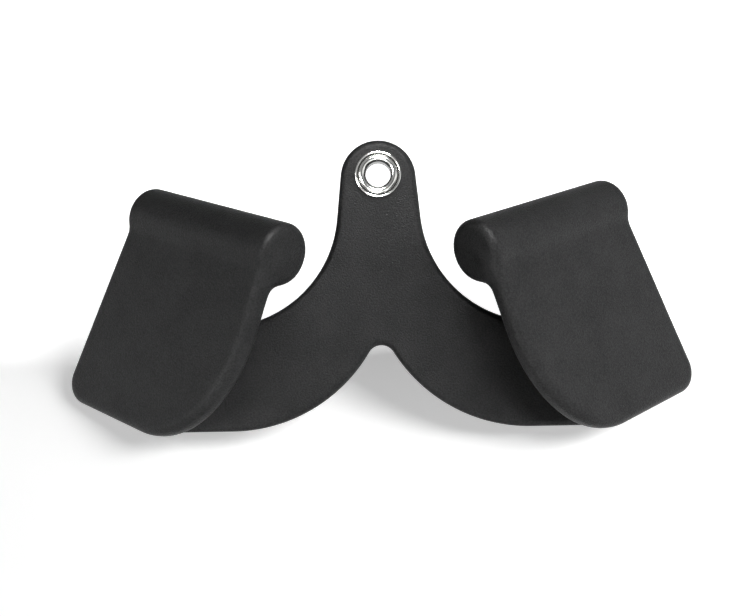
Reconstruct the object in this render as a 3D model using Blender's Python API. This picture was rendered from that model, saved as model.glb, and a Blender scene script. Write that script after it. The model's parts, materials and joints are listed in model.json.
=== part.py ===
"""Close-grip pulldown handle: a rubber-coated steel yoke with a hanging eyelet and two palm grips.

Metres, +Z up, in the pose in which the handle hangs from its eyelet. The origin is the middle of the
eyelet's bore, +X runs to the right-hand grip and -Y is the front, the side of the palms. Each grip is
made in its own frame, whose origin is the middle of the palm plate, level with the roll's axis:
x runs along the roll, y up the palm and z out of the palm's face.
"""

import math

import bmesh
import bpy
from mathutils import Matrix, Vector

# What all pieces share
GAP = 0.0003
OVERRUN = 0.010
LEFT, RIGHT = -1, 1

# The yoke: a flat plate with a tab on top and two curved arms
YOKE_CORE_THICKNESS = 0.005
YOKE_SKIN = 0.0022
YOKE_RIM_RADIUS = 0.004
TAB_RADIUS = 0.0225
TAB_CENTRE_DROP = 0.0018
TAB_LEAN = math.radians(5.9)
TAB_SIDE_LENGTH = 0.027
FLANK_RADIUS = 0.070
ARM_LOWER_RADIUS = 0.0956
NOTCH_RADIUS = 0.0085
NOTCH_DROP = 0.102
YOKE_DROP = 0.1521

# Where a grip stands: its middle, its lean from the vertical and its turn towards the front
GRIP_OFFSET = 0.1045
GRIP_DROP = 0.032
GRIP_LEAN = math.radians(18)
GRIP_TURN = math.radians(36.5)

# The palm plate of a grip
PALM_CORE_THICKNESS = 0.004
PALM_SKIN = 0.0047
PALM_RIM_RADIUS = 0.006
PALM_REACH = 0.1256
PALM_FLARE = math.radians(6.8)
OUTER_EDGE_SETBACK = 0.0013
INNER_EDGE_SETBACK = 0.0006
OUTER_CORNER_RADIUS = 0.0148
INNER_CORNER_WIDTH = 0.060
INNER_CORNER_HEIGHT = 0.076

# The roll along the top of a grip
ROLL_RADIUS = 0.0185
ROLL_LENGTH = 0.123
ROLL_END_RADIUS = 0.005
ROLL_SETBACK = 0.009
ROLL_SKIN = 0.0042
TUBE_WALL = 0.002
DISC_THICKNESS = 0.003

# The fillets between a roll and its palm plate, sunk a hair into both
FRONT_FILLET_RADIUS = 0.020
BACK_FILLET_RADIUS = 0.007
FILLET_END_SETBACK = 0.0009
FILLET_SINK = 0.00005

# Weld beads: their legs, and how far their ends stay inside what they join
WELD_LEG = 0.003
ROLL_WELD_END_MARGIN = 0.008
ARM_WELD_END_MARGIN = 0.003
WELD_CROWN_SHARE = 0.25

# The eyelet
BORE_RADIUS = 0.008
BARREL_WALL = 0.0012
LIP_RADIUS = 0.012
LIP_HEIGHT = 0.0019
FLANGE_RADIUS = 0.014
FLANGE_HEIGHT = 0.0017
WASHER_RADIUS = 0.014
WASHER_THICKNESS = 0.0008
WASHER_RIM_WIDTH = 0.0013
WASHER_RIM_HEIGHT = 0.0008

# How finely round things are cut
ARC_STEPS = 12
RIM_STEPS = 3
CORNER_STEPS = 6
DOME_STEPS = 6
ROLL_SEGMENTS = 40
TUBE_SEGMENTS = 32
EYELET_SEGMENTS = 40
SMOOTH_ANGLE = math.radians(32)

# What follows from the sizes above
YOKE_COAT = GAP + YOKE_SKIN
YOKE_THICKNESS = YOKE_CORE_THICKNESS + 2 * YOKE_COAT
PALM_COAT = GAP + PALM_SKIN
PALM_THICKNESS = PALM_CORE_THICKNESS + 2 * PALM_COAT
TUBE_RADIUS = ROLL_RADIUS - ROLL_SKIN - GAP
DISC_OUTER_END = ROLL_LENGTH / 2 - ROLL_SKIN - GAP
TUBE_END = DISC_OUTER_END - DISC_THICKNESS - GAP
BARREL_RADIUS = BORE_RADIUS + BARREL_WALL
EYELET_HOLE_RADIUS = BARREL_RADIUS + GAP
GRIP_SIZE = PALM_REACH + ROLL_LENGTH

STEEL = ("bare_steel", (0.30, 0.30, 0.31), 0.45, 1.0)
WELD = ("weld_steel", (0.22, 0.21, 0.20), 0.55, 1.0)
PLATED = ("bright_plating", (0.82, 0.82, 0.80), 0.12, 1.0)
RUBBER = ("charcoal_rubber", (0.045, 0.046, 0.047), 0.75, 0.0)


def clear_scene():
    for item in list(bpy.data.objects):
        bpy.data.objects.remove(item)


def material(finish):
    """The Principled material of a finish, made once."""
    name, colour, roughness, metallic = finish
    found = bpy.data.materials.get(name)
    if found:
        return found
    made = bpy.data.materials.new(name)
    made.use_nodes = True
    shader = made.node_tree.nodes["Principled BSDF"]
    shader.inputs["Base Color"].default_value = (*colour, 1)
    shader.inputs["Roughness"].default_value = roughness
    shader.inputs["Metallic"].default_value = metallic
    return made


def body(name, mesh, finish=None, parent=None):
    """A piece of the handle, or a cutter or an added form where it has no finish."""
    bm = bmesh.new()
    bm.from_mesh(mesh)
    bmesh.ops.recalc_face_normals(bm, faces=bm.faces)
    bm.to_mesh(mesh)
    bm.free()
    piece = bpy.data.objects.new(name, mesh)
    bpy.context.collection.objects.link(piece)
    piece.parent = parent
    mesh.shade_smooth()
    mesh.set_sharp_from_angle(angle=SMOOTH_ANGLE)
    if finish:
        mesh.materials.append(material(finish))
    else:
        piece.hide_render = True
        piece.display_type = "WIRE"
    return piece


def change(piece, operation, others):
    for other in others:
        modifier = piece.modifiers.new(other.name, "BOOLEAN")
        modifier.operation = operation
        modifier.solver = "EXACT"
        modifier.object = other


def cut(piece, *cutters):
    change(piece, "DIFFERENCE", cutters)


def join(piece, *forms):
    change(piece, "UNION", forms)


# Outlines: closed, counter-clockwise lists of points in a plane

def arc(centre, radius, start, end, steps=ARC_STEPS):
    """Points on an arc from one angle to another, both ends among them."""
    angles = [start + (end - start) * step / steps for step in range(steps + 1)]
    return [Vector((centre[0] + radius * math.cos(a), centre[1] + radius * math.sin(a))) for a in angles]


def inset(points, distance):
    """A closed outline moved inwards by a distance, or outwards where it is negative."""
    moved = []
    for index, point in enumerate(points):
        before = (point - points[index - 1]).normalized()
        after = (points[(index + 1) % len(points)] - point).normalized()
        across = Vector((-before.y - after.y, before.x + after.x))
        moved.append(point + across * (distance / (1 + before.dot(after))))
    return moved


# Meshes

def stack(name, rings, place):
    """A closed mesh through rings of as many points each, with a flat cap at both ends."""
    bm = bmesh.new()
    made = [[bm.verts.new(place(point, level)) for point in ring] for ring, level in rings]
    for lower, upper in zip(made, made[1:]):
        for index in range(len(lower)):
            after = (index + 1) % len(lower)
            bm.faces.new((lower[index], lower[after], upper[after], upper[index]))
    bm.faces.new(made[0])
    bm.faces.new(made[-1])
    mesh = bpy.data.meshes.new(name)
    bm.to_mesh(mesh)
    bm.free()
    return mesh


def rounded_levels(half_length, radius):
    """Pairs of a depth and a level that round off both ends of a form along its length."""
    turns = [math.pi / 2 * step / RIM_STEPS for step in range(RIM_STEPS + 1)]
    far = [(radius * (1 - math.cos(t)), half_length - radius * (1 - math.sin(t))) for t in turns]
    return [(depth, -level) for depth, level in reversed(far)] + far


def slab(name, outline, thickness, place, rim=0):
    """A plate of one outline, whose rim is rounded where a radius is given."""
    half = thickness / 2
    levels = rounded_levels(half, rim) if rim else [(0, -half), (0, half)]
    return stack(name, [(inset(outline, depth), level) for depth, level in levels], place)


def turned(name, profile, segments, place, closed=False):
    """A profile of radius and place along the axis, turned round it: a ring, or a solid between two poles."""
    bm = bmesh.new()
    rings = []
    for radius, along in profile:
        angles = [2 * math.pi * index / segments for index in range(segments if radius else 1)]
        rings.append([bm.verts.new(place(radius * math.cos(a), radius * math.sin(a), along)) for a in angles])
    pairs = list(zip(rings, rings[1:]))
    if closed:
        pairs.append((rings[-1], rings[0]))
    for first, second in pairs:
        for index in range(segments):
            after = (index + 1) % segments
            corners = (first[index % len(first)], first[after % len(first)],
                       second[after % len(second)], second[index % len(second)])
            bm.faces.new(list(dict.fromkeys(corners)))
    mesh = bpy.data.meshes.new(name)
    bm.to_mesh(mesh)
    bm.free()
    return mesh


def rod_profile(start, end, radius):
    return [(0, start), (radius, start), (radius, end), (0, end)]


# Places: how a section's or a turned form's own measures lie in the yoke's frame or a grip's

def in_yoke(point, level):
    return Vector((point.x, level, point.y))


def round_bore(across, up, along):
    return Vector((across, -along, up))


def round_roll(up, out, along):
    return Vector((along, up, out - ROLL_SETBACK))


def across_grip(point, level):
    return Vector((level, point.x, point.y))


def in_palm(side):
    """An outline has its x from the palm's outer to its inner edge."""
    return lambda point, level: Vector((-side * point.x, point.y, level))


def along_arm(side, middle):
    """A section has its x from the palm's outer to its inner edge and its y out of the palm."""
    return lambda point, level: Vector((-side * point.x, level - middle, point.y))


# The yoke

def flank_centre():
    """The middle of the arc under a grip's roll, on the right."""
    tab_side = Vector((math.sin(TAB_LEAN), -math.cos(TAB_LEAN)))
    outward = Vector((math.cos(TAB_LEAN), math.sin(TAB_LEAN)))
    return Vector((0, -TAB_CENTRE_DROP)) + outward * (TAB_RADIUS + FLANK_RADIUS) + tab_side * TAB_SIDE_LENGTH


def arm_end_point(height):
    """Where the right arm's outline ends at a height: past the palm plate, which trims it."""
    run = (-GRIP_DROP - height) * math.tan(GRIP_LEAN)
    return Vector((GRIP_OFFSET + run + OVERRUN, height))


def yoke_outline():
    """The coated plate, from the notch round the right arm and over the tab to the left arm."""
    notch_centre_drop = NOTCH_DROP + NOTCH_RADIUS
    lower_centre_drop = YOKE_DROP - ARM_LOWER_RADIUS
    rise = notch_centre_drop - lower_centre_drop
    reach = math.sqrt((ARM_LOWER_RADIUS + NOTCH_RADIUS) ** 2 - rise ** 2)
    slope = math.atan2(rise, reach)
    centre = flank_centre()
    past_flank = arm_end_point(centre.y - FLANK_RADIUS).x - centre.x
    flank_turn = math.asin(past_flank / FLANK_RADIUS)
    notch = arc((0, -notch_centre_drop), NOTCH_RADIUS, math.pi / 2, slope, CORNER_STEPS)
    lower = arc((reach, -lower_centre_drop), ARM_LOWER_RADIUS, math.pi + slope, math.pi * 3 / 2)
    flank = arc(centre, FLANK_RADIUS, math.pi * 3 / 2 + flank_turn, math.pi + TAB_LEAN, 2 * ARC_STEPS)
    tab = arc((0, -TAB_CENTRE_DROP), TAB_RADIUS, TAB_LEAN, math.pi / 2)
    half = notch + lower[1:] + [arm_end_point(-YOKE_DROP)] + flank + tab
    return half + [Vector((-point.x, point.y)) for point in reversed(half[1:-1])]


def yoke_plate(name, depth, rim=0, finish=None):
    """The yoke's plate, smaller on every side by a depth."""
    mesh = slab(name, inset(yoke_outline(), depth), YOKE_THICKNESS - 2 * depth, in_yoke, rim)
    return body(name, mesh, finish)


def block_in_front(name, grip, level):
    """All that lies in front of one level of a grip's frame."""
    corners = [Vector((x, y)) for x, y in ((-GRIP_SIZE, -GRIP_SIZE), (GRIP_SIZE, -GRIP_SIZE),
                                           (GRIP_SIZE, GRIP_SIZE), (-GRIP_SIZE, GRIP_SIZE))]
    mesh = stack(name, [(corners, level), (corners, level + GRIP_SIZE)], lambda point, at: Vector((*point, at)))
    return body(name, mesh, None, grip)


def make_yoke(grips):
    """The steel plate and the skin round it; returns the room that the plate takes up in a skin."""
    core = yoke_plate("yoke_core_plate", YOKE_COAT, 0, STEEL)
    coating = yoke_plate("yoke_coating", 0, YOKE_RIM_RADIUS, RUBBER)
    room = yoke_plate("room_for_yoke_core", YOKE_SKIN)
    through = rod_profile(-YOKE_THICKNESS, YOKE_THICKNESS, EYELET_HOLE_RADIUS)
    hole = body("eyelet_hole", turned("eyelet_hole", through, EYELET_SEGMENTS, round_bore))
    cut(core, hole)
    for side, grip in grips:
        core_back = -PALM_CORE_THICKNESS / 2
        cut(core, block_in_front(f"{grip.name}_core_trim", grip, core_back - GAP))
        cut(room, block_in_front(f"{grip.name}_room_trim", grip, core_back))
        palm = slab(f"{grip.name}_palm_trim", inset(palm_outline(), -GAP), PALM_THICKNESS + 2 * GAP,
                    in_palm(side), PALM_RIM_RADIUS + GAP)
        halfway_round_rim = (PALM_RIM_RADIUS - PALM_THICKNESS) / 2
        skin_trim = block_in_front(f"{grip.name}_skin_trim", grip, halfway_round_rim)
        cut(coating, body(palm.name, palm, None, grip), skin_trim)
    cut(coating, room, hole)
    return room


# The eyelet

def dome(inner, outer, base, height):
    """Half an ellipse over a ring, from the ring's outer edge to its inner one."""
    middle, half_width = (inner + outer) / 2, (outer - inner) / 2
    turns = [math.pi * step / DOME_STEPS for step in range(DOME_STEPS + 1)]
    return [(middle + half_width * math.cos(t), base + height * math.sin(t)) for t in turns]


def make_eyelet():
    """The barrel, set over a cup washer in front and flanged behind."""
    seat = YOKE_THICKNESS / 2 + GAP
    washer_top = seat + WASHER_THICKNESS
    lip_seat = washer_top + GAP
    lip = dome(BORE_RADIUS, LIP_RADIUS, lip_seat, LIP_HEIGHT)
    flange = dome(BORE_RADIUS, FLANGE_RADIUS, -seat, -FLANGE_HEIGHT)
    barrel = lip + flange[::-1] + [(BARREL_RADIUS, -seat), (BARREL_RADIUS, lip_seat)]
    body("eyelet_barrel", turned("eyelet_barrel", barrel, EYELET_SEGMENTS, round_bore, True), PLATED)
    rim = dome(WASHER_RADIUS - WASHER_RIM_WIDTH, WASHER_RADIUS, washer_top, WASHER_RIM_HEIGHT)
    washer = rim + [(EYELET_HOLE_RADIUS, washer_top), (EYELET_HOLE_RADIUS, seat), (WASHER_RADIUS, seat)]
    body("eyelet_washer", turned("eyelet_washer", washer, EYELET_SEGMENTS, round_bore, True), PLATED)


# The grips

def grip_frame(side):
    """An empty that carries a grip: x along the roll, y up the palm, z out of the palm's face."""
    up = Vector((-side * math.sin(GRIP_LEAN), 0, math.cos(GRIP_LEAN)))
    inward = Vector((-side * math.cos(GRIP_LEAN), 0, -math.sin(GRIP_LEAN)))
    front = Vector((0, -1, 0))
    along = inward * math.cos(GRIP_TURN) + front * math.sin(GRIP_TURN)
    out = front * math.cos(GRIP_TURN) - inward * math.sin(GRIP_TURN)
    grip = bpy.data.objects.new("left" if side == LEFT else "right", None)
    bpy.context.collection.objects.link(grip)
    turn = Matrix((along * -side, up, out)).transposed().to_4x4()
    grip.matrix_world = Matrix.Translation((side * GRIP_OFFSET, 0, -GRIP_DROP)) @ turn
    return grip


def palm_outline():
    """The coated palm plate below the roll's axis, with x from the outer edge to the inner one."""
    inner = ROLL_LENGTH / 2 - INNER_EDGE_SETBACK
    outer_top = OUTER_EDGE_SETBACK - ROLL_LENGTH / 2
    corner_y = OUTER_CORNER_RADIUS - PALM_REACH
    corner_x = outer_top + (OUTER_CORNER_RADIUS + corner_y * math.sin(PALM_FLARE)) / math.cos(PALM_FLARE)
    outer_corner = arc((corner_x, corner_y), OUTER_CORNER_RADIUS, math.pi - PALM_FLARE, math.pi * 3 / 2,
                       CORNER_STEPS)
    inner_corner = [Vector((inner - INNER_CORNER_WIDTH * (1 - point.x),
                            INNER_CORNER_HEIGHT * (1 + point.y) - PALM_REACH))
                    for point in arc((0, 0), 1, -math.pi / 2, 0)]
    return [Vector((outer_top, 0))] + outer_corner + inner_corner + [Vector((inner, 0))]


def fillet(side_of_plate, radius, depth):
    """The hollow between the roll and one face of the palm plate, from the plate to the roll."""
    face = PALM_THICKNESS / 2 * side_of_plate
    centre_out = face + radius * side_of_plate
    from_axis = centre_out + ROLL_SETBACK
    centre_up = -math.sqrt((ROLL_RADIUS + radius) ** 2 - from_axis ** 2)
    on_plate = -math.pi / 2 * side_of_plate
    on_roll = math.atan2(-from_axis, -centre_up)
    return arc((centre_up, centre_out), radius + depth + FILLET_SINK, on_plate, on_roll, CORNER_STEPS)


def fillet_section(depth):
    """The web that fills both hollows, with its tip on the roll's axis."""
    front = fillet(1, FRONT_FILLET_RADIUS, depth)
    back = fillet(-1, BACK_FILLET_RADIUS, depth)
    return front + [Vector((0, -ROLL_SETBACK))] + back[::-1]


def bead_section(corner, first_leg_end, second_leg_end):
    """A weld bead's section in a corner, a little crowned."""
    middle = (first_leg_end + second_leg_end) / 2
    crown = middle + (middle - corner) * WELD_CROWN_SHARE
    section = [corner, first_leg_end, crown, second_leg_end]
    counter_clockwise = (first_leg_end - corner).cross(second_leg_end - corner) > 0
    return section if counter_clockwise else section[::-1]


def roll_bead_section(side_of_plate):
    """A bead between the roll's tube and one face of the palm's core plate."""
    reach = TUBE_RADIUS + GAP
    out = (PALM_CORE_THICKNESS / 2 + GAP) * side_of_plate
    turn = math.asin((out + ROLL_SETBACK) / reach)
    corner, on_tube = [Vector((-reach * math.cos(t), reach * math.sin(t) - ROLL_SETBACK))
                       for t in (turn, turn + WELD_LEG / reach * side_of_plate)]
    return bead_section(corner, corner + Vector((-WELD_LEG, 0)), on_tube)


def arm_corner(side_of_arm):
    """How far in front of the junction an arm's face meets the back of the palm's core plate."""
    across = (YOKE_CORE_THICKNESS / 2 + GAP) * -side_of_arm
    return (PALM_CORE_THICKNESS / 2 + GAP - across * math.cos(GRIP_TURN)) / math.sin(GRIP_TURN), across


def arm_bead_section(side_of_arm):
    """A bead between an arm's front or back face and the palm's core plate."""
    inward, across = arm_corner(side_of_arm)
    corner = Vector((inward * math.cos(GRIP_TURN) - across * math.sin(GRIP_TURN), -PALM_CORE_THICKNESS / 2 - GAP))
    on_palm = corner + Vector((WELD_LEG * side_of_arm, 0))
    on_arm = corner + Vector((math.cos(GRIP_TURN), -math.sin(GRIP_TURN))) * WELD_LEG
    return bead_section(corner, on_palm, on_arm)


def arm_bead_span(side_of_arm):
    """Where an arm's bead starts and ends below the roll's axis, along the palm."""
    inward, across = arm_corner(side_of_arm)
    down = Vector((math.sin(GRIP_LEAN), -math.cos(GRIP_LEAN)))
    start = Vector((GRIP_OFFSET - inward * math.cos(GRIP_LEAN), -GRIP_DROP - inward * math.sin(GRIP_LEAN)))
    from_centre = start - flank_centre()
    reach = FLANK_RADIUS + YOKE_COAT
    along = -from_centre.dot(down)
    top = along + math.sqrt(along ** 2 + reach ** 2 - from_centre.length_squared)
    arm_bottom = (start.y + YOKE_DROP - YOKE_COAT) / math.cos(GRIP_LEAN)
    bottom = min(arm_bottom, PALM_REACH - PALM_COAT)
    return top + ARM_WELD_END_MARGIN, bottom - ARM_WELD_END_MARGIN


def bead(name, section, length, place, grip):
    """A weld bead, and the room that it takes up in a skin."""
    body(name, slab(name, section, length, place), WELD, grip)
    room = slab(f"room_for_{name}", inset(section, -GAP), length + 2 * GAP, place)
    return body(room.name, room, None, grip)


def make_welds(side, grip):
    """The beads that join the arm to the palm's core plate, and that plate to the roll's tube."""
    rooms = []
    roll_bead_length = ROLL_LENGTH - 2 * (PALM_COAT + ROLL_WELD_END_MARGIN)
    for face, side_of_plate in (("front", 1), ("back", -1)):
        section = roll_bead_section(side_of_plate)
        rooms.append(bead(f"{grip.name}_roll_weld_{face}", section, roll_bead_length, across_grip, grip))
        top, bottom = arm_bead_span(side_of_plate)
        place = along_arm(side, (top + bottom) / 2)
        section = arm_bead_section(side_of_plate)
        rooms.append(bead(f"{grip.name}_arm_weld_{face}", section, bottom - top, place, grip))
    return rooms


def make_tube(side, grip):
    """The roll's tube and its two end discs; returns the room that they take up in a skin."""
    inside = TUBE_RADIUS - TUBE_WALL
    tube = [(inside, -TUBE_END), (TUBE_RADIUS, -TUBE_END), (TUBE_RADIUS, TUBE_END), (inside, TUBE_END)]
    name = f"{grip.name}_roll_tube"
    body(name, turned(name, tube, TUBE_SEGMENTS, round_roll, True), STEEL, grip)
    for end, towards in (("inner", -side), ("outer", side)):
        name = f"{grip.name}_roll_{end}_disc"
        disc = rod_profile(towards * (TUBE_END + GAP), towards * DISC_OUTER_END, TUBE_RADIUS)
        body(name, turned(name, disc, TUBE_SEGMENTS, round_roll), STEEL, grip)
    name = f"room_for_{grip.name}_roll_tube"
    end = DISC_OUTER_END + GAP
    room = turned(name, rod_profile(-end, end, TUBE_RADIUS + GAP), TUBE_SEGMENTS, round_roll)
    return body(name, room, None, grip)


def make_grip(side, grip, yoke_room):
    """A grip: its tube, palm plate and welds, and the rubber skin round them all."""
    tube_room = make_tube(side, grip)
    weld_rooms = make_welds(side, grip)
    name = f"{grip.name}_palm_core"
    core_outline = inset(palm_outline(), PALM_COAT)
    core = body(name, slab(name, core_outline, PALM_CORE_THICKNESS, in_palm(side)), STEEL, grip)
    cut(core, tube_room)
    name = f"room_for_{grip.name}_palm_core"
    room_outline = inset(palm_outline(), PALM_SKIN)
    core_room = body(name, slab(name, room_outline, PALM_CORE_THICKNESS + 2 * GAP, in_palm(side)), None, grip)

    name = f"{grip.name}_grip_coating"
    palm = slab(name, palm_outline(), PALM_THICKNESS, in_palm(side), PALM_RIM_RADIUS)
    coating = body(name, palm, RUBBER, grip)
    name = f"{grip.name}_roll_form"
    ends = [(ROLL_RADIUS - depth, level) for depth, level in rounded_levels(ROLL_LENGTH / 2, ROLL_END_RADIUS)]
    profile = [(0, -ROLL_LENGTH / 2)] + ends + [(0, ROLL_LENGTH / 2)]
    roll = body(name, turned(name, profile, ROLL_SEGMENTS, round_roll), None, grip)
    name = f"{grip.name}_fillet_form"
    levels = rounded_levels(ROLL_LENGTH / 2 - FILLET_END_SETBACK, ROLL_END_RADIUS)
    fillets = stack(name, [(fillet_section(depth), level) for depth, level in levels], across_grip)
    join(coating, roll, body(name, fillets, None, grip))
    cut(coating, tube_room, core_room, *weld_rooms, yoke_room)


def main():
    clear_scene()
    grips = [(side, grip_frame(side)) for side in (LEFT, RIGHT)]
    yoke_room = make_yoke(grips)
    make_eyelet()
    for side, grip in grips:
        make_grip(side, grip, yoke_room)


main()
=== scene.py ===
"""The looks of the pulldown handle: its moulded rubber, its plated eyelet, and the light it stands in.

Metres, +Z up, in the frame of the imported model: the origin is the middle of the eyelet's bore, +X runs to
the right-hand grip and -Y is the front. The handle's two halves mirror each other, so its forms are worked
out for the right half, and each point of the left half takes the distance of its mirror point.
"""

import json
import math

import bmesh
import bpy
from mathutils import Matrix, Vector


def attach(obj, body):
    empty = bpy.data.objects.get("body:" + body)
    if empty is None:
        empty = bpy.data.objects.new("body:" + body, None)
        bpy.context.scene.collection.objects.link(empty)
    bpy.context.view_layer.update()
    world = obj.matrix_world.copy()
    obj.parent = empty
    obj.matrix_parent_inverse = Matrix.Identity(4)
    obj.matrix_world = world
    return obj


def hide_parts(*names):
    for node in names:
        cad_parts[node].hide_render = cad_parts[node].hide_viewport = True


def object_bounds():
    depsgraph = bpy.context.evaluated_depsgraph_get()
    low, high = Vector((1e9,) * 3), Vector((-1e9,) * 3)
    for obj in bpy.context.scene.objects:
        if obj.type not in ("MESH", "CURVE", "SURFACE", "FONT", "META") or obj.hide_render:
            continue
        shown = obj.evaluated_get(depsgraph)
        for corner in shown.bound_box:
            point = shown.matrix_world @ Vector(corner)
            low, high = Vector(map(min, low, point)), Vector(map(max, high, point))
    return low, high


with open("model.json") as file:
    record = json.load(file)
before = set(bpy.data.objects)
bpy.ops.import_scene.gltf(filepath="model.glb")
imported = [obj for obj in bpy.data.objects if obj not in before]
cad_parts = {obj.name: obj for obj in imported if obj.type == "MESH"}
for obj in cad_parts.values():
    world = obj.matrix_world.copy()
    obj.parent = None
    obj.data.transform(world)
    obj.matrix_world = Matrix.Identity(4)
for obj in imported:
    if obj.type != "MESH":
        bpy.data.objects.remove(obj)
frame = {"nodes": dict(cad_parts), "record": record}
cad_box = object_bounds()

# The yoke: a flat plate with a tab on top and two curved arms
YOKE_THICKNESS = 0.010
YOKE_RIM_RADIUS = 0.004
TAB_RADIUS = 0.0225
TAB_CENTRE_DROP = 0.0018
TAB_LEAN = math.radians(5.9)
TAB_SIDE_LENGTH = 0.027
FLANK_RADIUS = 0.070
ARM_LOWER_RADIUS = 0.0956
NOTCH_RADIUS = 0.0085
NOTCH_DROP = 0.102
YOKE_DROP = 0.1521
ARM_OVERRUN = 0.010

# Where a grip stands: its middle, its lean from the vertical and its turn towards the front
GRIP_OFFSET = 0.1045
GRIP_DROP = 0.032
GRIP_LEAN = math.radians(18)
GRIP_TURN = math.radians(36.5)

# The palm plate and the roll of a grip
PALM_THICKNESS = 0.014
PALM_RIM_RADIUS = 0.006
PALM_REACH = 0.1256
PALM_FLARE = math.radians(6.8)
OUTER_EDGE_SETBACK = 0.0013
INNER_EDGE_SETBACK = 0.0006
OUTER_CORNER_RADIUS = 0.0148
INNER_CORNER_WIDTH = 0.060
INNER_CORNER_HEIGHT = 0.076
ROLL_RADIUS = 0.0185
ROLL_LENGTH = 0.123
ROLL_END_RADIUS = 0.005
ROLL_SETBACK = 0.008

# How softly the rubber runs from one form into the next, as the reach of each blend
FRONT_FILLET_REACH = 0.0025
BACK_FILLET_REACH = 0.012
ARM_FILLET_REACH = 0.005

# How far into the palm plate's back the heart of an arm runs
ARM_BITE = 0.001

# The eyelet
BORE_RADIUS = 0.008
THROAT_RADIUS = 0.0075
THROAT_DEPTH = 0.0006
BARREL_WALL = 0.0012
EYELET_GAP = 0.0003
LIP_RADIUS = 0.0116
LIP_HEIGHT = 0.0019
FLANGE_RADIUS = 0.014
FLANGE_HEIGHT = 0.0017
WASHER_RADIUS = 0.0138
WASHER_THICKNESS = 0.0008
WASHER_RIM_WIDTH = 0.0014
WASHER_RIM_HEIGHT = 0.0008
EYELET_HOLE_RADIUS = BORE_RADIUS + BARREL_WALL + EYELET_GAP

# How finely things are made
VOXEL = 0.0010
MARGIN_VOXELS = 3
SURFACE_LEVEL = 0.5
ARC_STEPS = 40
EYELET_SEGMENTS = 144
DOME_STEPS = 16
SMOOTH_ANGLE = math.radians(50)

# The skin is divided across each arm, this far inwards of the grip's middle
SEAM_INWARD = 0.031
SEAM_TOP = -0.060

LEFT, RIGHT = -1, 1


class Field:
    """A value or vector that nodes of a tree work out at every point."""

    def __init__(self, tree, socket):
        self.tree = tree
        self.socket = socket

    def node(self, kind, operation, *others):
        made = self.tree.nodes.new(kind)
        made.operation = operation
        for place, value in zip(made.inputs, (self, *others)):
            if isinstance(value, Field):
                self.tree.links.new(value.socket, place)
            else:
                place.default_value = value
        return made

    def math(self, operation, *others):
        return Field(self.tree, self.node("ShaderNodeMath", operation, *others).outputs["Value"])

    def vector(self, operation, *others):
        made = self.node("ShaderNodeVectorMath", operation, *others)
        scalar = operation in ("DOT_PRODUCT", "DISTANCE")
        return Field(self.tree, made.outputs["Value" if scalar else "Vector"])

    def __add__(self, other):
        return self.math("ADD", other)

    def __sub__(self, other):
        return self.math("SUBTRACT", other)

    def __mul__(self, other):
        return self.math("MULTIPLY", other)

    def __truediv__(self, other):
        return self.math("DIVIDE", other)

    def least(self, other):
        return self.math("MINIMUM", other)

    def most(self, other):
        return self.math("MAXIMUM", other)

    def held(self):
        """The value kept between 0 and 1."""
        return self.most(0).least(1)

    def blended(self, other, reach):
        """The lesser of two distances, with a soft hollow of a reach where they meet."""
        return self.math("SMOOTH_MIN", other, reach)

    def hypotenuse(self, other):
        return (self * self + other * other).math("SQRT")


def axes_of(tree, vector):
    """The X, Y and Z of a vector."""
    apart = tree.nodes.new("ShaderNodeSeparateXYZ")
    tree.links.new(vector, apart.inputs["Vector"])
    return [Field(tree, apart.outputs[axis]) for axis in "XYZ"]


# Outlines: closed, counter-clockwise lists of points in a plane

def arc(centre, radius, start, end):
    angles = [start + (end - start) * step / ARC_STEPS for step in range(ARC_STEPS + 1)]
    return [Vector((centre[0] + radius * math.cos(a), centre[1] + radius * math.sin(a))) for a in angles]


def inset(points, distance):
    """The outline moved inwards by a distance."""
    moved = []
    for index, point in enumerate(points):
        before = (point - points[index - 1]).normalized()
        after = (points[(index + 1) % len(points)] - point).normalized()
        across = Vector((-before.y - after.y, before.x + after.x))
        moved.append(point + across * (distance / (1 + before.dot(after))))
    return moved


def arm_end_point(height):
    """Where the plate's outline would end past the palm at a height, before it is cut off at the palm."""
    run = (-GRIP_DROP - height) * math.tan(GRIP_LEAN)
    return Vector((GRIP_OFFSET + run + ARM_OVERRUN, height))


def yoke_outline():
    """The coated plate, from the notch round the right arm and over the tab to the left arm."""
    notch_centre_drop = NOTCH_DROP + NOTCH_RADIUS
    lower_centre_drop = YOKE_DROP - ARM_LOWER_RADIUS
    rise = notch_centre_drop - lower_centre_drop
    reach = math.sqrt((ARM_LOWER_RADIUS + NOTCH_RADIUS) ** 2 - rise ** 2)
    slope = math.atan2(rise, reach)
    tab_side = Vector((math.sin(TAB_LEAN), -math.cos(TAB_LEAN)))
    outward = Vector((math.cos(TAB_LEAN), math.sin(TAB_LEAN)))
    flank_centre = Vector((0, -TAB_CENTRE_DROP)) + outward * (TAB_RADIUS + FLANK_RADIUS)
    flank_centre += tab_side * TAB_SIDE_LENGTH
    past_flank = arm_end_point(flank_centre.y - FLANK_RADIUS).x - flank_centre.x
    flank_turn = math.asin(past_flank / FLANK_RADIUS)
    notch = arc((0, -notch_centre_drop), NOTCH_RADIUS, math.pi / 2, slope)
    lower = arc((reach, -lower_centre_drop), ARM_LOWER_RADIUS, math.pi + slope, math.pi * 3 / 2)
    flank = arc(flank_centre, FLANK_RADIUS, math.pi * 3 / 2 + flank_turn, math.pi + TAB_LEAN)
    tab = arc((0, -TAB_CENTRE_DROP), TAB_RADIUS, TAB_LEAN, math.pi / 2)
    half = notch + lower[1:] + [arm_end_point(-YOKE_DROP)] + flank + tab
    return half + [Vector((-point.x, point.y)) for point in reversed(half[1:-1])]


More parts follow.
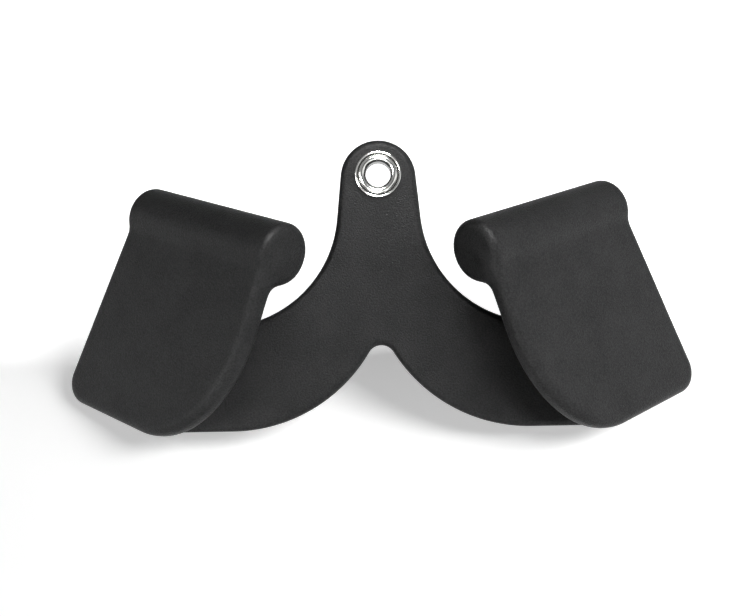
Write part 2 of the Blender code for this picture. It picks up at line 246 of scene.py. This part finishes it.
def palm_outline():
    """The coated palm plate below the roll's axis, with x from the outer edge to the inner one."""
    inner = ROLL_LENGTH / 2 - INNER_EDGE_SETBACK
    outer_top = OUTER_EDGE_SETBACK - ROLL_LENGTH / 2
    corner_y = OUTER_CORNER_RADIUS - PALM_REACH
    corner_x = outer_top + (OUTER_CORNER_RADIUS + corner_y * math.sin(PALM_FLARE)) / math.cos(PALM_FLARE)
    outer_corner = arc((corner_x, corner_y), OUTER_CORNER_RADIUS, math.pi - PALM_FLARE, math.pi * 3 / 2)
    inner_corner = [Vector((inner - INNER_CORNER_WIDTH * (1 - point.x),
                            INNER_CORNER_HEIGHT * (1 + point.y) - PALM_REACH))
                    for point in arc((0, 0), 1, -math.pi / 2, 0)]
    return [Vector((outer_top, 0))] + outer_corner + inner_corner + [Vector((inner, 0))]


def grip_axes():
    """The right grip's directions: outwards along the roll, up the palm and out of its face."""
    up = Vector((-math.sin(GRIP_LEAN), 0, math.cos(GRIP_LEAN)))
    inward = Vector((-math.cos(GRIP_LEAN), 0, -math.sin(GRIP_LEAN)))
    front = Vector((0, -1, 0))
    along = inward * math.cos(GRIP_TURN) + front * math.sin(GRIP_TURN)
    out = front * math.cos(GRIP_TURN) - inward * math.sin(GRIP_TURN)
    return -along, up, out


GRIP_ALONG, GRIP_UP, GRIP_OUT = grip_axes()
GRIP_MIDDLE = Vector((GRIP_OFFSET, 0, -GRIP_DROP))


def in_yoke(point, level):
    """A point of the yoke's outline, at a level behind its middle plane."""
    return Vector((point.x, level, point.y))


def in_palm(point, level):
    """A point of the right palm's outline, at a level in front of its middle plane."""
    return GRIP_MIDDLE - GRIP_ALONG * point.x + GRIP_UP * point.y + GRIP_OUT * level


# Pieces

def piece(name, mesh, *finishes):
    """An object in the scene, at the origin, with its finishes."""
    made = bpy.data.objects.new(name, mesh)
    bpy.context.scene.collection.objects.link(made)
    for finish in finishes:
        mesh.materials.append(finish)
    return made


def heart(name, outline, thickness, place):
    """The sharp-edged plate that lies one rim radius inside a rubber form."""
    bm = bmesh.new()
    levels = (-thickness / 2, thickness / 2)
    rings = [[bm.verts.new(place(point, level)) for point in outline] for level in levels]
    for index in range(len(outline)):
        after = (index + 1) % len(outline)
        bm.faces.new((rings[0][index], rings[0][after], rings[1][after], rings[1][index]))
    bm.faces.new(rings[0])
    bm.faces.new(rings[1])
    mesh = bpy.data.meshes.new(name)
    bm.to_mesh(mesh)
    bm.free()
    return piece(name, mesh)


def yoke_heart():
    """The yoke's heart, which ends just inside the back of each palm plate."""
    outline = inset(yoke_outline(), YOKE_RIM_RADIUS)
    made = heart("yoke heart", outline, YOKE_THICKNESS - 2 * YOKE_RIM_RADIUS, in_yoke)
    bm = bmesh.new()
    bm.from_mesh(made.data)
    for side in (LEFT, RIGHT):
        mirror = Matrix.Diagonal((side, 1, 1))
        everything = bm.verts[:] + bm.edges[:] + bm.faces[:]
        end = GRIP_MIDDLE + GRIP_OUT * (ARM_BITE - PALM_THICKNESS / 2)
        bmesh.ops.bisect_plane(bm, geom=everything, plane_co=mirror @ end, plane_no=mirror @ GRIP_OUT,
                               clear_outer=True)
    bm.to_mesh(made.data)
    bm.free()
    return made


def palm_heart():
    """The heart of the right palm, which stands for the left one's too."""
    outline = inset(palm_outline(), PALM_RIM_RADIUS)
    return heart("palm heart", outline, PALM_THICKNESS - 2 * PALM_RIM_RADIUS, in_palm)


RUBBER_INPUTS = (
    ("Yoke heart", "NodeSocketObject"),
    ("Palm heart", "NodeSocketObject"),
    ("Yoke rim radius", "NodeSocketFloat"),
    ("Palm rim radius", "NodeSocketFloat"),
    ("Grip middle", "NodeSocketVector"),
    ("Grip along", "NodeSocketVector"),
    ("Grip up", "NodeSocketVector"),
    ("Grip out", "NodeSocketVector"),
    ("Roll radius", "NodeSocketFloat"),
    ("Roll length", "NodeSocketFloat"),
    ("Roll end radius", "NodeSocketFloat"),
    ("Roll setback", "NodeSocketFloat"),
    ("Front fillet reach", "NodeSocketFloat"),
    ("Back fillet reach", "NodeSocketFloat"),
    ("Arm fillet reach", "NodeSocketFloat"),
    ("Palm thickness", "NodeSocketFloat"),
    ("Eyelet hole radius", "NodeSocketFloat"),
    ("Lowest corner", "NodeSocketVector"),
    ("Highest corner", "NodeSocketVector"),
    ("Voxel", "NodeSocketFloat"),
    ("Rubber", "NodeSocketMaterial"),
)


def rubber_tree():
    """Rubber round the hearts, as thick as their rim radius, run softly into the rolls and each other."""
    tree = bpy.data.node_groups.new("moulded rubber", "GeometryNodeTree")
    for name, kind in RUBBER_INPUTS:
        tree.interface.new_socket(name, in_out="INPUT", socket_type=kind)
    tree.interface.new_socket("Geometry", in_out="OUTPUT", socket_type="NodeSocketGeometry")
    given = tree.nodes.new("NodeGroupInput").outputs
    size = {name: Field(tree, given[name]) for name, kind in RUBBER_INPUTS}

    position = tree.nodes.new("GeometryNodeInputPosition").outputs["Position"]
    # Each point of the left half takes the place of its mirror point on the right
    across, depth, height = axes_of(tree, position)
    mirrored = tree.nodes.new("ShaderNodeCombineXYZ")
    for axis, value in zip("XYZ", (across.math("ABSOLUTE"), depth, height)):
        tree.links.new(value.socket, mirrored.inputs[axis])
    here = Field(tree, mirrored.outputs["Vector"])

    def skin_over(name, radius):
        carried = tree.nodes.new("GeometryNodeObjectInfo")
        tree.links.new(given[name], carried.inputs["Object"])
        nearest = tree.nodes.new("GeometryNodeProximity")
        tree.links.new(carried.outputs["Geometry"], nearest.inputs["Geometry"])
        tree.links.new(here.socket, nearest.inputs["Sample Position"])
        return Field(tree, nearest.outputs["Distance"]) - radius

    yoke = skin_over("Yoke heart", size["Yoke rim radius"])
    palm = skin_over("Palm heart", size["Palm rim radius"])

    from_grip = here.vector("SUBTRACT", size["Grip middle"])
    along = from_grip.vector("DOT_PRODUCT", size["Grip along"]).math("ABSOLUTE")
    up = from_grip.vector("DOT_PRODUCT", size["Grip up"])
    out = from_grip.vector("DOT_PRODUCT", size["Grip out"])
    rounding = size["Roll end radius"]
    past_side = up.hypotenuse(out + size["Roll setback"]) - size["Roll radius"] + rounding
    past_end = along - size["Roll length"] / 2 + rounding
    outside = past_side.most(0).hypotenuse(past_end.most(0))
    roll = outside + past_side.most(past_end).least(0) - rounding

    # 0 at the back of the palm plate and 1 at its face
    frontness = (out / size["Palm thickness"] + 0.5).held()
    reach = size["Back fillet reach"] + (size["Front fillet reach"] - size["Back fillet reach"]) * frontness
    grip = roll.blended(palm, reach)
    rubber = grip.blended(yoke, size["Arm fillet reach"])
    hole = size["Eyelet hole radius"] - across.hypotenuse(height)
    # The density is at the surface level where the rubber ends, and falls by 1 over each voxel outwards
    density = (rubber.most(hole) / size["Voxel"]).math("MULTIPLY_ADD", -1, SURFACE_LEVEL)

    volume = tree.nodes.new("GeometryNodeVolumeCube")
    tree.links.new(density.socket, volume.inputs["Density"])
    tree.links.new(given["Lowest corner"], volume.inputs["Min"])
    tree.links.new(given["Highest corner"], volume.inputs["Max"])
    span = size["Highest corner"].vector("SUBTRACT", size["Lowest corner"])
    for axis, length in zip("XYZ", axes_of(tree, span.socket)):
        steps = (length / size["Voxel"]).math("ROUND")
        tree.links.new(steps.socket, volume.inputs[f"Resolution {axis}"])
    surface = tree.nodes.new("GeometryNodeVolumeToMesh")
    surface.resolution_mode = "GRID"
    surface.inputs["Threshold"].default_value = SURFACE_LEVEL
    tree.links.new(volume.outputs["Volume"], surface.inputs["Volume"])
    whole = tree.nodes.new("GeometryNodeRealizeInstances")
    tree.links.new(surface.outputs["Mesh"], whole.inputs["Geometry"])
    finished = tree.nodes.new("GeometryNodeSetMaterial")
    tree.links.new(whole.outputs["Geometry"], finished.inputs["Geometry"])
    tree.links.new(given["Rubber"], finished.inputs["Material"])
    tree.links.new(finished.outputs["Geometry"], tree.nodes.new("NodeGroupOutput").inputs["Geometry"])
    return tree


def grown(name, tree, values):
    """The mesh that a tree grows from its inputs."""
    holder = piece(name, bpy.data.meshes.new(name))
    modifier = holder.modifiers.new(name, "NODES")
    modifier.node_group = tree
    inputs = [item for item in tree.interface.items_tree if item.in_out == "INPUT"]
    identifiers = {item.name: item.identifier for item in inputs}
    for label, value in values.items():
        modifier[identifiers[label]] = value
    bpy.context.view_layer.update()
    evaluated = holder.evaluated_get(bpy.context.evaluated_depsgraph_get())
    mesh = bpy.data.meshes.new_from_object(evaluated)
    bpy.data.objects.remove(holder)
    return mesh


def moulded_rubber(finish):
    """The whole skin in one piece, as the real one is moulded."""
    margin = Vector((MARGIN_VOXELS * VOXEL,) * 3)
    yoke, palm = yoke_heart(), palm_heart()
    mesh = grown("moulded rubber", rubber_tree(), {
        "Yoke heart": yoke,
        "Palm heart": palm,
        "Yoke rim radius": YOKE_RIM_RADIUS,
        "Palm rim radius": PALM_RIM_RADIUS,
        "Grip middle": GRIP_MIDDLE,
        "Grip along": GRIP_ALONG,
        "Grip up": GRIP_UP,
        "Grip out": GRIP_OUT,
        "Roll radius": ROLL_RADIUS,
        "Roll length": ROLL_LENGTH,
        "Roll end radius": ROLL_END_RADIUS,
        "Roll setback": ROLL_SETBACK,
        "Front fillet reach": FRONT_FILLET_REACH,
        "Back fillet reach": BACK_FILLET_REACH,
        "Arm fillet reach": ARM_FILLET_REACH,
        "Palm thickness": PALM_THICKNESS,
        "Eyelet hole radius": EYELET_HOLE_RADIUS,
        "Lowest corner": Vector(cad_box[0]) - margin,
        "Highest corner": Vector(cad_box[1]) + margin,
        "Voxel": VOXEL,
        "Rubber": finish,
    })
    for done in (yoke, palm):
        bpy.data.objects.remove(done)
    return mesh


def divided(mesh):
    """The skin divided across both arms into three closed parts, from the left one to the right one."""
    bm = bmesh.new()
    bm.from_mesh(mesh)
    cuts = []
    for side in (LEFT, RIGHT):
        mirror = Matrix.Diagonal((side, 1, 1))
        inward = mirror @ Vector((-math.cos(GRIP_LEAN), 0, -math.sin(GRIP_LEAN)))
        seam = mirror @ GRIP_MIDDLE + inward * SEAM_INWARD
        near = [face for face in bm.faces
                if face.calc_center_median().z < SEAM_TOP and face.calc_center_median().x * side > 0
                and abs(face.calc_center_median().y) < YOKE_THICKNESS]
        around = list({part for face in near for part in (*face.verts, *face.edges)})
        made = bmesh.ops.bisect_plane(bm, geom=near + around, plane_co=seam, plane_no=inward)
        cuts += [part for part in made["geom_cut"] if isinstance(part, bmesh.types.BMEdge)]
    bmesh.ops.split_edges(bm, edges=cuts)
    bmesh.ops.holes_fill(bm, edges=[edge for edge in bm.edges if edge.is_boundary], sides=0)
    parts = []
    waiting = set(bm.faces)
    while waiting:
        start = waiting.pop()
        reached, edge_of_reach = {start}, [start]
        while edge_of_reach:
            face = edge_of_reach.pop()
            for edge in face.edges:
                for other in edge.link_faces:
                    if other in waiting:
                        waiting.discard(other)
                        reached.add(other)
                        edge_of_reach.append(other)
        parts.append(reached)
    parts.sort(key=lambda faces: sum(face.calc_center_median().x for face in faces) / len(faces))
    meshes = []
    for faces in parts:
        numbers = {}
        corners = []
        for face in faces:
            corners.append([numbers.setdefault(vert, len(numbers)) for vert in face.verts])
        part = bpy.data.meshes.new("rubber part")
        part.from_pydata([vert.co for vert in numbers], [], corners)
        meshes.append(part)
    bm.free()
    return meshes


# The eyelet

def turned(name, profile):
    """A closed profile of radius and depth towards the front, turned round the bore's axis."""
    bm = bmesh.new()
    rings = []
    for radius, along in profile:
        angles = [2 * math.pi * index / EYELET_SEGMENTS for index in range(EYELET_SEGMENTS)]
        rings.append([bm.verts.new((radius * math.cos(a), -along, radius * math.sin(a))) for a in angles])
    for first, second in zip(rings, rings[1:] + rings[:1]):
        for index in range(EYELET_SEGMENTS):
            after = (index + 1) % EYELET_SEGMENTS
            bm.faces.new((first[index], first[after], second[after], second[index]))
    bmesh.ops.recalc_face_normals(bm, faces=bm.faces)
    mesh = bpy.data.meshes.new(name)
    bm.to_mesh(mesh)
    bm.free()
    return mesh


def dome(inner, outer, base, height):
    """Half an oval across a ring, from its outer radius over its top to its inner one."""
    middle, half_width = (inner + outer) / 2, (outer - inner) / 2
    turns = [math.pi * step / DOME_STEPS for step in range(DOME_STEPS + 1)]
    return [(middle + half_width * math.cos(t), base + height * math.sin(t)) for t in turns]


def eyelet_profiles():
    """The barrel, from its lip through its throat to its flange, and the washer with its raised rim."""
    seat = YOKE_THICKNESS / 2 + EYELET_GAP
    washer_top = seat + WASHER_THICKNESS
    lip_seat = washer_top + EYELET_GAP
    barrel_radius = BORE_RADIUS + BARREL_WALL
    lip = dome(BORE_RADIUS, LIP_RADIUS, lip_seat, LIP_HEIGHT)
    step_in = BORE_RADIUS - THROAT_RADIUS
    turns = [math.pi / 2 * step / DOME_STEPS for step in range(1, DOME_STEPS + 1)]
    throat = [(BORE_RADIUS - step_in * math.sin(t), lip_seat - THROAT_DEPTH * (1 - math.cos(t)))
              for t in turns]
    flange = dome(THROAT_RADIUS, FLANGE_RADIUS, -seat, -FLANGE_HEIGHT)
    barrel = lip + throat + flange[::-1] + [(barrel_radius, -seat), (barrel_radius, lip_seat)]
    rim = dome(WASHER_RADIUS - WASHER_RIM_WIDTH, WASHER_RADIUS, washer_top, WASHER_RIM_HEIGHT)
    washer = rim + [(EYELET_HOLE_RADIUS, washer_top), (EYELET_HOLE_RADIUS, seat), (WASHER_RADIUS, seat)]
    return {"eyelet_barrel": barrel, "eyelet_washer": washer}


# Finishes

# How rough a grain's own pattern is, from each octave of noise to the next
GRAIN_ROUGHNESS = 0.6
HAZE_ROUGHNESS = 0.5

# The rubber: how much it shines, on the scale where plain plastic is 0.5, how many grains and clouds there
# are to a metre, the grain's share in its shade, its darkest and lightest shade, and its pebbles' depth
RUBBER_SHEEN = 0.06
RUBBER_GRAIN = 1000
RUBBER_CLOUDS = 45
RUBBER_GRAIN_SHARE = 0.75
RUBBER_SHADES = (0.38, (0.022, 0.0221, 0.0223)), (0.62, (0.041, 0.0411, 0.0415))
RUBBER_ROUGHNESS = 0.3
RUBBER_ROUGHNESS_SPREAD = 0.1
PEBBLE_DEPTH = 0.0005
PEBBLE_STRENGTH = 0.8

# The plating: how far its painted shade reaches out of the bore over the lip and to each side of the
# groove's middle, how fine and strong its haze is, and its colours from the painted shade of the bore to the
# brightest
BORE_SHADE_BAND = 0.0004
GROOVE_SHADE_BAND = 0.0005
PLATING_HAZE = 300
PLATING_HAZE_SHARE = 0.2
PLATING_COLOURS_AND_PAINTED_SHADE = (0, (0.05, 0.05, 0.048)), (0.8, (0.78, 0.78, 0.76)), (1, (0.90, 0.90, 0.88))
PLATING_ROUGHNESS = 0.09
PLATING_ROUGHNESS_SPREAD = 0.06
HAZE_DEPTH = 0.00002
HAZE_STRENGTH = 0.3

# The steels: each one's dark and light shade, its roughness and how many grains there are to a metre
STEELS = {
    "bare_steel": ((0.25, 0.25, 0.26), (0.35, 0.35, 0.36), 0.4, 300),
    "weld_steel": ((0.16, 0.15, 0.15), (0.28, 0.27, 0.25), 0.5, 700),
}
STEEL_DARK_LEVEL, STEEL_LIGHT_LEVEL = 0.3, 0.7
STEEL_ROUGHNESS_SPREAD = 0.2
STEEL_GRAIN_DEPTH = 0.0001
STEEL_GRAIN_STRENGTH = 0.4


def new_finish(name, roughness, metallic):
    made = bpy.data.materials.new(name)
    made.use_nodes = True
    tree = made.node_tree
    shader = tree.nodes["Principled BSDF"]
    shader.inputs["Roughness"].default_value = roughness
    shader.inputs["Metallic"].default_value = metallic
    return made, tree, shader


def noise(tree, place, scale, detail=3.0, roughness=GRAIN_ROUGHNESS):
    made = tree.nodes.new("ShaderNodeTexNoise")
    made.inputs["Scale"].default_value = scale
    made.inputs["Detail"].default_value = detail
    made.inputs["Roughness"].default_value = roughness
    tree.links.new(place, made.inputs["Vector"])
    return Field(tree, made.outputs["Fac"])


def ramp(value, *stops):
    """A colour for each level of a value, mixed between the stops."""
    made = value.tree.nodes.new("ShaderNodeValToRGB")
    places = made.color_ramp.elements
    while len(places) < len(stops):
        places.new(0.5)
    for place, (level, colour) in zip(places, stops):
        place.position = level
        place.color = (*colour, 1)
    value.tree.links.new(value.socket, made.inputs["Fac"])
    return made.outputs["Color"]


def bump(tree, shader, height, distance, strength):
    made = tree.nodes.new("ShaderNodeBump")
    made.inputs["Distance"].default_value = distance
    made.inputs["Strength"].default_value = strength
    tree.links.new(height.socket, made.inputs["Height"])
    tree.links.new(made.outputs["Normal"], shader.inputs["Normal"])


def object_place(tree):
    return tree.nodes.new("ShaderNodeTexCoord").outputs["Object"]


def charcoal_rubber():
    """Matte rubber with a fine pebbled grain, a little cloudy from one place to the next."""
    made, tree, shader = new_finish("charcoal rubber", RUBBER_ROUGHNESS, 0)
    shader.inputs["Specular IOR Level"].default_value = RUBBER_SHEEN
    place = object_place(tree)
    grain = noise(tree, place, RUBBER_GRAIN)
    clouds = noise(tree, place, RUBBER_CLOUDS)
    shade = grain * RUBBER_GRAIN_SHARE + clouds * (1 - RUBBER_GRAIN_SHARE)
    tree.links.new(ramp(shade, *RUBBER_SHADES), shader.inputs["Base Color"])
    roughness = clouds * RUBBER_ROUGHNESS_SPREAD + RUBBER_ROUGHNESS
    tree.links.new(roughness.socket, shader.inputs["Roughness"])
    bump(tree, shader, grain, PEBBLE_DEPTH, PEBBLE_STRENGTH)
    return made


def bright_plating():
    """Bright plating, with painted shade in the groove round the lip and down the bore."""
    made, tree, shader = new_finish("bright plating", PLATING_ROUGHNESS, 1)
    place = object_place(tree)
    across, _, height = axes_of(tree, place)
    radius = across.hypotenuse(height)
    haze = noise(tree, place, PLATING_HAZE, roughness=HAZE_ROUGHNESS)
    # Painted shade: the plating turns dark down the bore and in the groove round the lip
    out_of_bore_shade = ((radius - BORE_RADIUS) / BORE_SHADE_BAND).held()
    groove_middle = (LIP_RADIUS + WASHER_RADIUS - WASHER_RIM_WIDTH) / 2
    out_of_groove_shade = ((radius - groove_middle).math("ABSOLUTE") / GROOVE_SHADE_BAND).least(1)
    haze_and_painted_shade = out_of_bore_shade.least(out_of_groove_shade) * (haze * PLATING_HAZE_SHARE + (1 - PLATING_HAZE_SHARE))
    tree.links.new(ramp(haze_and_painted_shade, *PLATING_COLOURS_AND_PAINTED_SHADE), shader.inputs["Base Color"])
    roughness = haze * PLATING_ROUGHNESS_SPREAD + PLATING_ROUGHNESS
    tree.links.new(roughness.socket, shader.inputs["Roughness"])
    bump(tree, shader, haze, HAZE_DEPTH, HAZE_STRENGTH)
    return made


def plain_steel(name, dark, light, roughness, grain_scale):
    """Uncoated steel with a fine grain between two shades."""
    made, tree, shader = new_finish(name, roughness, 1)
    place = object_place(tree)
    grain = noise(tree, place, grain_scale, detail=4)
    shade = ramp(grain, (STEEL_DARK_LEVEL, dark), (STEEL_LIGHT_LEVEL, light))
    tree.links.new(shade, shader.inputs["Base Color"])
    tree.links.new((grain * STEEL_ROUGHNESS_SPREAD + roughness).socket, shader.inputs["Roughness"])
    bump(tree, shader, grain, STEEL_GRAIN_DEPTH, STEEL_GRAIN_STRENGTH)
    return made


def dress_steel():
    """The steel inside the rubber, which nothing shows, gets its own finish too."""
    finishes = {slot: plain_steel(slot.replace("_", " "), *values) for slot, values in STEELS.items()}
    for part in frame["record"]["subparts"]:
        if part["material_slot"] in finishes:
            for slot in frame["nodes"][part["node"]].material_slots:
                slot.material = finishes[part["material_slot"]]


def make_rubber():
    """The skin in its three parts, in the places of the record's coatings."""
    finish = charcoal_rubber()
    names = ("left_grip_coating", "yoke_coating", "right_grip_coating")
    for node, mesh in zip(names, divided(moulded_rubber(finish))):
        made = piece(node.replace("coating", "rubber"), mesh, finish)
        mesh.shade_smooth()
        mesh.set_sharp_from_angle(angle=SMOOTH_ANGLE)
        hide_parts(node)
        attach(made, "root")


def make_eyelet():
    """The plated barrel and washer, in the places of the record's own."""
    finish = bright_plating()
    for node, profile in eyelet_profiles().items():
        mesh = turned(node, profile)
        made = piece(f"plated_{node}", mesh, finish)
        mesh.shade_smooth()
        mesh.set_sharp_from_angle(angle=SMOOTH_ANGLE)
        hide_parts(node)
        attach(made, "root")


# The camera, the light and the floor

# The camera: where it stands before the handle, how it is turned, and its lens in millimetres
CAMERA_PLACE = Vector((-0.00242, -0.630, -0.0777))
CAMERA_ROLL = math.radians(1.08)
CAMERA_PITCH = math.radians(-0.17)
CAMERA_YAW = math.radians(0.08)
CAMERA_LENS = 50.4
CAMERA_NEAR = 0.01

# The floor: how far it leans back, how far behind the eyelet it passes, its length and width, and its shade
FLOOR_LEAN = math.radians(45)
FLOOR_OFFSET = 0.180
FLOOR_SIZE = 6.0
FLOOR_COLOUR = 0.85

# The floor's own glow makes it white. It is weaker low down round the handle, where the shadow lies, and
# weakest below the notch, where a spot of painted shadow deepens it. It is full from a height upwards and
# beyond a distance, each with a soft edge.
FLOOR_GLOW = 0.5
WHITE_HEIGHT = -0.116
WHITE_HEIGHT_FADE = 0.024
WHITE_MIDDLE = Vector((0, 0.06, -0.12))
WHITE_BEYOND = 0.28
WHITE_BEYOND_FADE = 0.10
# The spot of painted shadow below the notch: its place, its radius and how much of the glow it takes away
PAINTED_SHADOW_PLACE = Vector((0.022, 0.065, -0.115))
PAINTED_SHADOW_RADIUS = 0.06
PAINTED_SHADOW_SHARE = 0.6

# The room: the light that it sheds, and what things mirror of it, which is a dark patch round the camera and
# a dimmer level overhead, with where the floor and the room begin to fall to it and over what span
ROOM_LIGHT = 0.02
DARK_PATCH = math.radians(32)
DARK_PATCH_EDGE = 0.12
DARK_PATCH_LEVEL = 0.15
OVERHEAD_LEVEL = 0.25
FLOOR_OVERHEAD = (-0.15, 0.25)
ROOM_OVERHEAD = (0.0, 0.3)

# Where the lamps point, and how far off they hang
LAMP_AIM = Vector((0, 0, -0.08))
LAMP_DISTANCE = 1.2

# Each lamp's turn to the right of the front and its rise, in degrees, its width, its height and its power.
# The first lamps light things, and the others are seen as sheen on them.
LAMPS = {
    "key lamp": (43, 18, 0.9, 0.5, 16.0),
    "left lamp": (-88, -15, 0.8, 0.5, 9.2),
    "back lamp": (205, -12, 0.7, 0.7, 9.0),
    "back side lamp": (140, 20, 0.5, 0.5, 3.5),
}
SHEEN_LAMPS = {
    "high sheen lamp": (3, 42, 0.6, 0.3, 64.0),
    "low sheen lamp": (-15, -38, 0.9, 0.4, 9.0),
    "near left sheen lamp": (-45, -5, 0.5, 0.4, 12.0),
    "left sheen lamp": (-85, 11, 0.25, 0.25, 1.4),
}


def make_camera():
    """The camera at the photograph's viewing angle."""
    data = bpy.data.cameras.new("camera")
    data.lens = CAMERA_LENS
    data.clip_start = CAMERA_NEAR
    camera = bpy.data.objects.new("camera", data)
    bpy.context.scene.collection.objects.link(camera)
    yaw, pitch = Matrix.Rotation(CAMERA_YAW, 3, "Z"), Matrix.Rotation(CAMERA_PITCH, 3, "X")
    turn = yaw @ pitch @ Matrix.Rotation(CAMERA_ROLL, 3, "Y")
    right, ahead, up = turn.transposed()
    axes = Matrix((right, up, -ahead)).transposed().to_4x4()
    camera.matrix_world = Matrix.Translation(CAMERA_PLACE) @ axes
    bpy.context.scene.camera = camera


def seen_directly(tree):
    """1 for the rays that show a background: from the camera, off metal or through glass."""
    path = tree.nodes.new("ShaderNodeLightPath")
    seen = Field(tree, path.outputs["Is Camera Ray"]).most(Field(tree, path.outputs["Is Glossy Ray"]))
    return seen.most(Field(tree, path.outputs["Is Transmission Ray"]))


def high(height, start, span):
    """1 up to a start, and from there down to the overhead level of the room."""
    return ((height - start) / span).held() * (OVERHEAD_LEVEL - 1) + 1


def make_world():
    """White to the camera, and in what mirrors it dimmer overhead and dark in a patch in front."""
    world = bpy.data.worlds.new("white room")
    world.use_nodes = True
    tree = world.node_tree
    background = tree.nodes["Background"]
    background.inputs["Color"].default_value = (1, 1, 1, 1)
    _, depth, height = axes_of(tree, tree.nodes.new("ShaderNodeTexCoord").outputs["Generated"])
    patch = ((depth * -1 - math.cos(DARK_PATCH)) / DARK_PATCH_EDGE).held()
    overhead = high(height, *ROOM_OVERHEAD)
    path = tree.nodes.new("ShaderNodeLightPath")
    in_view = Field(tree, path.outputs["Is Camera Ray"])
    mirrored = seen_directly(tree) * (patch * (DARK_PATCH_LEVEL - 1) + 1) * overhead
    strength = in_view.most(mirrored).most(ROOM_LIGHT)
    tree.links.new(strength.socket, background.inputs["Strength"])
    bpy.context.scene.world = world


def floor_finish():
    """White to the camera but for the handle's shadow, and open to the eye and the lamps behind it."""
    made = bpy.data.materials.new("white floor")
    made.use_nodes = True
    tree = made.node_tree
    tree.nodes.remove(tree.nodes["Principled BSDF"])
    diffuse = tree.nodes.new("ShaderNodeBsdfDiffuse")
    diffuse.inputs["Color"].default_value = (FLOOR_COLOUR,) * 3 + (1,)
    glow = tree.nodes.new("ShaderNodeEmission")
    here = Field(tree, object_place(tree))
    _, _, height = axes_of(tree, here.socket)
    # Painted shadow: the glow is dimmed in a spot below the notch
    from_painted_shadow = here.vector("DISTANCE", PAINTED_SHADOW_PLACE) / PAINTED_SHADOW_RADIUS
    low_glow_with_painted_shadow = (from_painted_shadow.least(1) * PAINTED_SHADOW_SHARE + (1 - PAINTED_SHADOW_SHARE)) * FLOOR_GLOW
    far = (here.vector("DISTANCE", WHITE_MIDDLE) - WHITE_BEYOND) / WHITE_BEYOND_FADE
    unshaded = ((height - WHITE_HEIGHT) / WHITE_HEIGHT_FADE).most(far).held()
    white = low_glow_with_painted_shadow + (low_glow_with_painted_shadow * -1 + 1) * unshaded
    in_view = Field(tree, tree.nodes.new("ShaderNodeLightPath").outputs["Is Camera Ray"])
    mirrored = seen_directly(tree) * high(height, *FLOOR_OVERHEAD) * FLOOR_GLOW
    tree.links.new((in_view * white).most(mirrored).socket, glow.inputs["Strength"])
    both = tree.nodes.new("ShaderNodeAddShader")
    tree.links.new(diffuse.outputs["BSDF"], both.inputs[0])
    tree.links.new(glow.outputs["Emission"], both.inputs[1])
    behind = Field(tree, tree.nodes.new("ShaderNodeNewGeometry").outputs["Backfacing"])
    lets_through = behind.most(Field(tree, tree.nodes.new("ShaderNodeLightPath").outputs["Is Shadow Ray"]))
    one_way = tree.nodes.new("ShaderNodeMixShader")
    tree.links.new(lets_through.socket, one_way.inputs["Fac"])
    tree.links.new(both.outputs["Shader"], one_way.inputs[1])
    tree.links.new(tree.nodes.new("ShaderNodeBsdfTransparent").outputs["BSDF"], one_way.inputs[2])
    tree.links.new(one_way.outputs["Shader"], tree.nodes["Material Output"].inputs["Surface"])
    return made


def make_floor():
    """A floor that leans back from under the handle's lowest corners."""
    rise = Vector((0, math.sin(FLOOR_LEAN), math.cos(FLOOR_LEAN))) * FLOOR_SIZE / 2
    side = Vector((1, 0, 0)) * FLOOR_SIZE / 2
    middle = Vector((0, FLOOR_OFFSET, 0))
    corners = [middle - side - rise, middle + side - rise, middle + side + rise, middle - side + rise]
    mesh = bpy.data.meshes.new("floor")
    mesh.from_pydata(corners, [], [(0, 1, 2, 3)])
    piece("floor", mesh, floor_finish())


def make_lamps():
    """Soft panels of light round the handle."""
    for name, (turn, rise, width, height, power) in {**LAMPS, **SHEEN_LAMPS}.items():
        data = bpy.data.lights.new(name, "AREA")
        data.shape = "ELLIPSE"
        data.size = width
        data.size_y = height
        data.energy = power
        lamp = bpy.data.objects.new(name, data)
        bpy.context.scene.collection.objects.link(lamp)
        turn, rise = math.radians(turn), math.radians(rise)
        back = Vector((math.sin(turn) * math.cos(rise), -math.cos(turn) * math.cos(rise), math.sin(rise)))
        facing = back.to_track_quat("Z", "Y").to_matrix().to_4x4()
        lamp.matrix_world = Matrix.Translation(LAMP_AIM + back * LAMP_DISTANCE) @ facing
        lamp.visible_camera = False
        lamp.visible_diffuse = name in LAMPS
        lamp.visible_glossy = name in SHEEN_LAMPS


def main():
    bpy.context.scene.view_settings.view_transform = "Standard"
    dress_steel()
    make_rubber()
    make_eyelet()
    make_camera()
    make_world()
    make_floor()
    make_lamps()


main()
